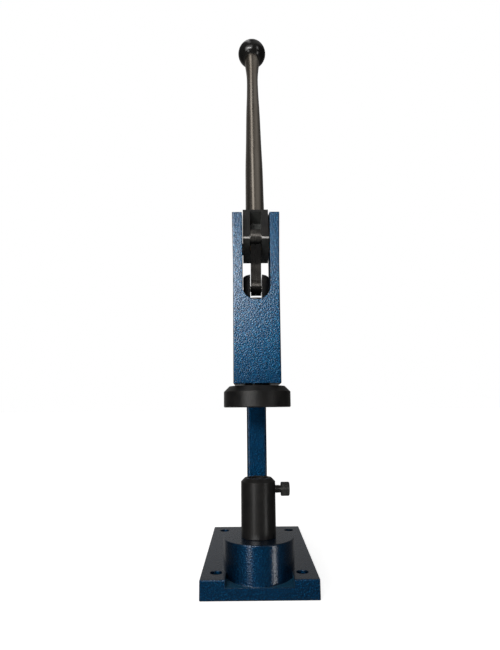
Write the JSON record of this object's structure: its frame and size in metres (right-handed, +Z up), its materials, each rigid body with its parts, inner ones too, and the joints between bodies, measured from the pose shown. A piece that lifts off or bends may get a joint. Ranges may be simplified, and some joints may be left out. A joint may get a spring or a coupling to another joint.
{
  "type": "toggle lever press",
  "caption": "Bench arbor press with a cast C-frame, a long ball-ended lever that drives a round ram and pressing disc through a toggle link, and a die holder with clamp screw.",
  "frame": {"origin": "centre of the four base bolt holes, on the underside of the base", "axes": "+Z up along the ram; the operator stands on the -Y side; +X to the operator's right, where the clamp screw is"},
  "size_m": [0.108, 0.2232, 0.709],
  "materials": {
    "hammertone_blue": "glossy blue hammertone paint on cast iron",
    "black_oxide": "blackened steel, satin",
    "turned_steel": "drawn steel rod, fine lengthwise grain",
    "bright_steel": "ground steel",
    "link_steel": "dull heat-treated steel",
    "knob_black": "glossy black phenolic",
    "bronze": "plain bearing bronze",
    "brass": "turned brass"
  },
  "bodies": {
    "frame": {"frame_casting": "hammertone_blue", "ram_bush_upper": "bronze", "ram_bush_lower": "bronze", "pivot_pin": "bright_steel", "pivot_pin_screw": "black_oxide", "stop_screw": "black_oxide", "stop_lock_nut": "black_oxide", "die_holder": "black_oxide", "die_holder_screw": "black_oxide"},
    "lever": {"lever_hub": "black_oxide", "lever_rod": "turned_steel", "rod_grub_screw": "black_oxide", "knob": "knob_black", "knob_insert": "brass", "pivot_bushes": "bronze", "link_pin": "bright_steel"},
    "link": {"link_plates": "link_steel", "link_bush": "bronze"},
    "ram": {"ram": "black_oxide", "ram_pin": "bright_steel", "platen": "black_oxide", "platen_grub_screw": "black_oxide"},
    "clamp_pad": {"clamp_pad": "brass"},
    "clamp_screw": {"clamp_screw": "black_oxide"}
  },
  "joints": [
    {"name": "lever_pivot", "type": "hinge", "parent": "frame", "child": "lever", "pos_m": [0, -0.067, 0.3363], "axis": [1, 0, 0], "range_deg": [0, 95]},
    {"name": "link_pivot", "type": "hinge", "parent": "lever", "child": "link", "pos_m": [0, -0.08149, 0.34309], "axis": [1, 0, 0], "range_deg": [-104, 0]},
    {"name": "ram_slide", "type": "slide", "parent": "frame", "child": "ram", "axis": [0, 0, -1], "range_m": [0, 0.0214]},
    {"name": "clamp_advance", "type": "slide", "parent": "frame", "child": "clamp_pad", "axis": [-1, 0, 0], "range_m": [0, 0.00501]},
    {"name": "clamp_turn", "type": "hinge", "parent": "clamp_pad", "child": "clamp_screw", "pos_m": [0, -0.07, 0.0905], "axis": [-1, 0, 0], "range_deg": [0, 1440]}
  ],
  "couplings": [
    {"joint": "link_pivot", "follows": "lever_pivot", "ratio": -1.0923},
    {"joint": "ram_slide", "follows": "lever_pivot", "m_per_rad": 0.012866},
    {"joint": "clamp_advance", "follows": "clamp_turn", "m_per_rad": 0.00019894}
  ]
}
